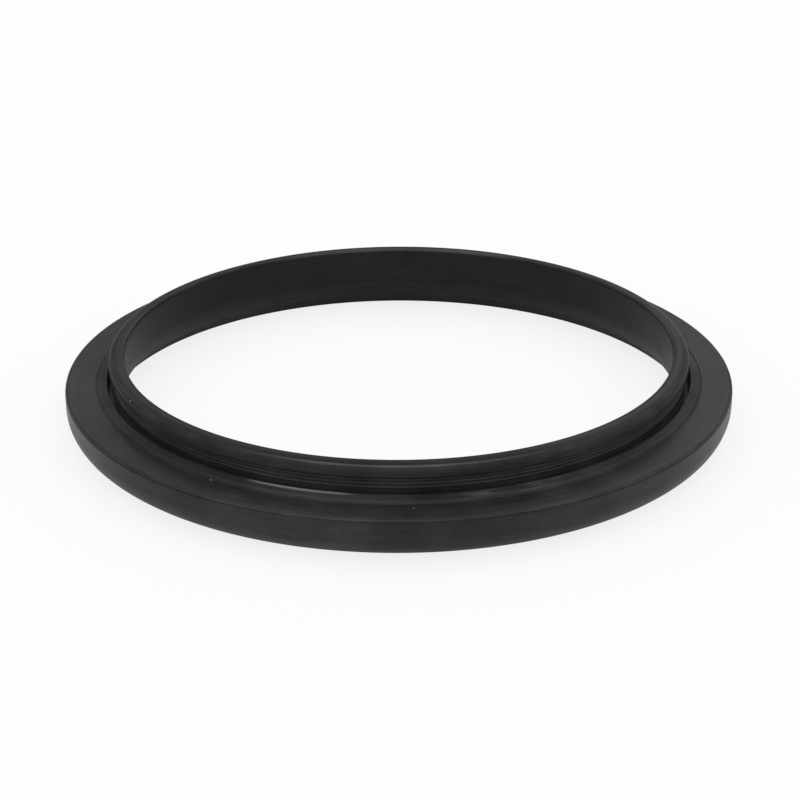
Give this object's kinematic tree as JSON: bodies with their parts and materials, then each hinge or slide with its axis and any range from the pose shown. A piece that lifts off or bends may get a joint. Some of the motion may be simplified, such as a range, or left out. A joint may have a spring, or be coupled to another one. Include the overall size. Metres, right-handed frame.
{
  "type": "pump gasket",
  "caption": "Moulded black rubber ring gasket: a flat flange with a rounded foot and a raised collar with fine sealing ribs and a lip round a wide plain bore.",
  "frame": {"origin": "centre of the base plane, on the ring's axis", "axes": "+Z along the ring's axis, from the base towards the collar's lip; X and Y lie in the base plane"},
  "size_m": [0.15, 0.15, 0.0164],
  "materials": {
    "black_rubber": "satin black moulded rubber"
  },
  "bodies": {
    "root": {"gasket_ring": "black_rubber"}
  },
  "joints": []
}
